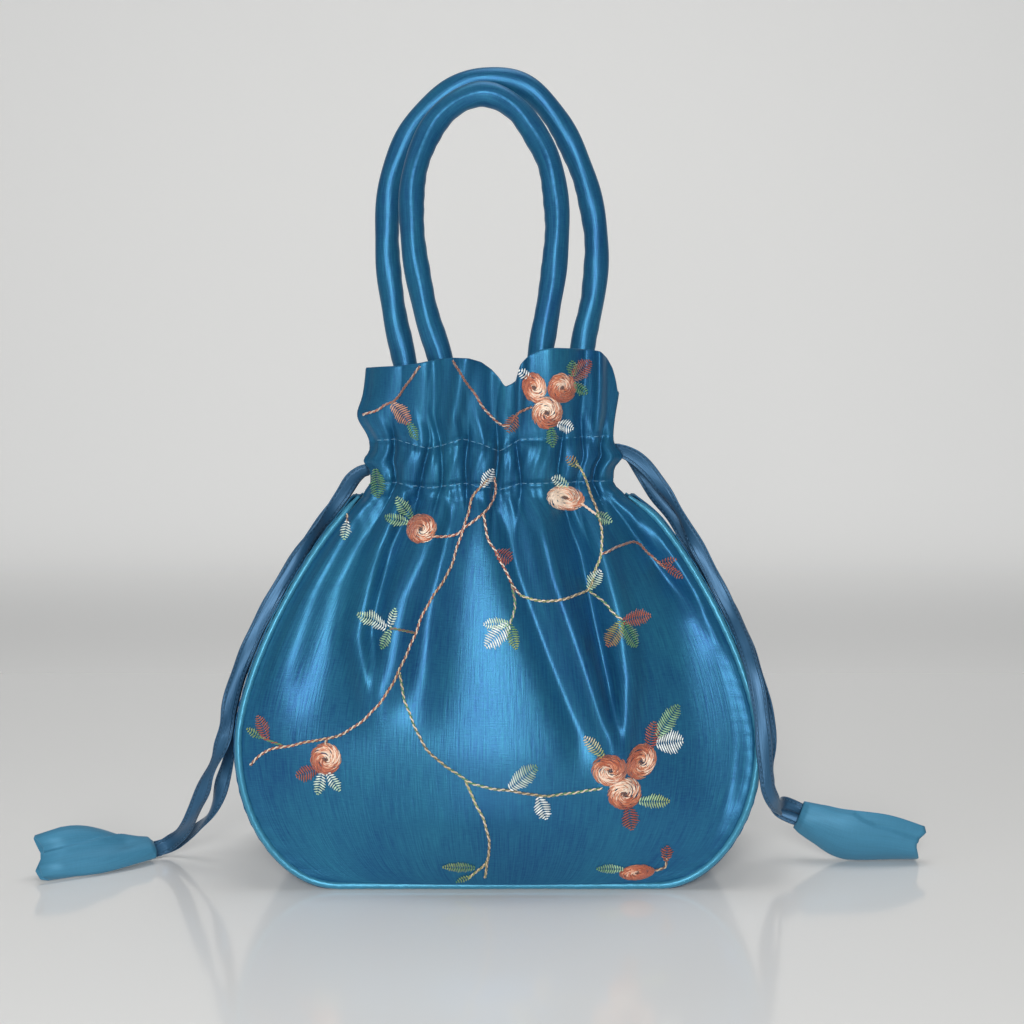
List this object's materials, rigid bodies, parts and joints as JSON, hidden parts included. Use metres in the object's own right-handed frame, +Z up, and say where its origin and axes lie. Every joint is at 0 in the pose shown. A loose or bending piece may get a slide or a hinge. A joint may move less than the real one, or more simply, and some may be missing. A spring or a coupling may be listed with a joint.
{
  "type": "drawstring handbag",
  "caption": "Gathered satin drawstring handbag with piped seams, a ruffled neck, padded loop handles, tabbed drawstrings and a raised rose vine.",
  "frame": {"origin": "middle of the flat base, on the surface the bag stands on", "axes": "+X to the right as the front is seen, +Y towards the back, +Z up"},
  "size_m": [0.383, 0.1025, 0.3508],
  "materials": {
    "satin": "satin",
    "piping_satin": "satin",
    "lining_cloth": "matte",
    "ribbon": "satin",
    "tab_satin": "satin",
    "embroidery_thread": "silk thread"
  },
  "bodies": {
    "root": {"front_panel": "satin", "back_panel": "satin", "gusset": "satin", "front_piping": "piping_satin", "back_piping": "piping_satin", "lining": "lining_cloth", "front_handle": "satin", "back_handle": "satin", "right_drawstring_casing_run": "ribbon", "left_drawstring_casing_run": "ribbon", "left_drawstring_front_end": "ribbon", "left_drawstring_back_end": "ribbon", "right_drawstring_front_end": "ribbon", "right_drawstring_back_end": "ribbon", "left_drawstring_tab": "tab_satin", "right_drawstring_tab": "tab_satin", "embroidered_vine": "embroidery_thread", "embroidered_ruffle_roses": "embroidery_thread"}
  },
  "joints": []
}
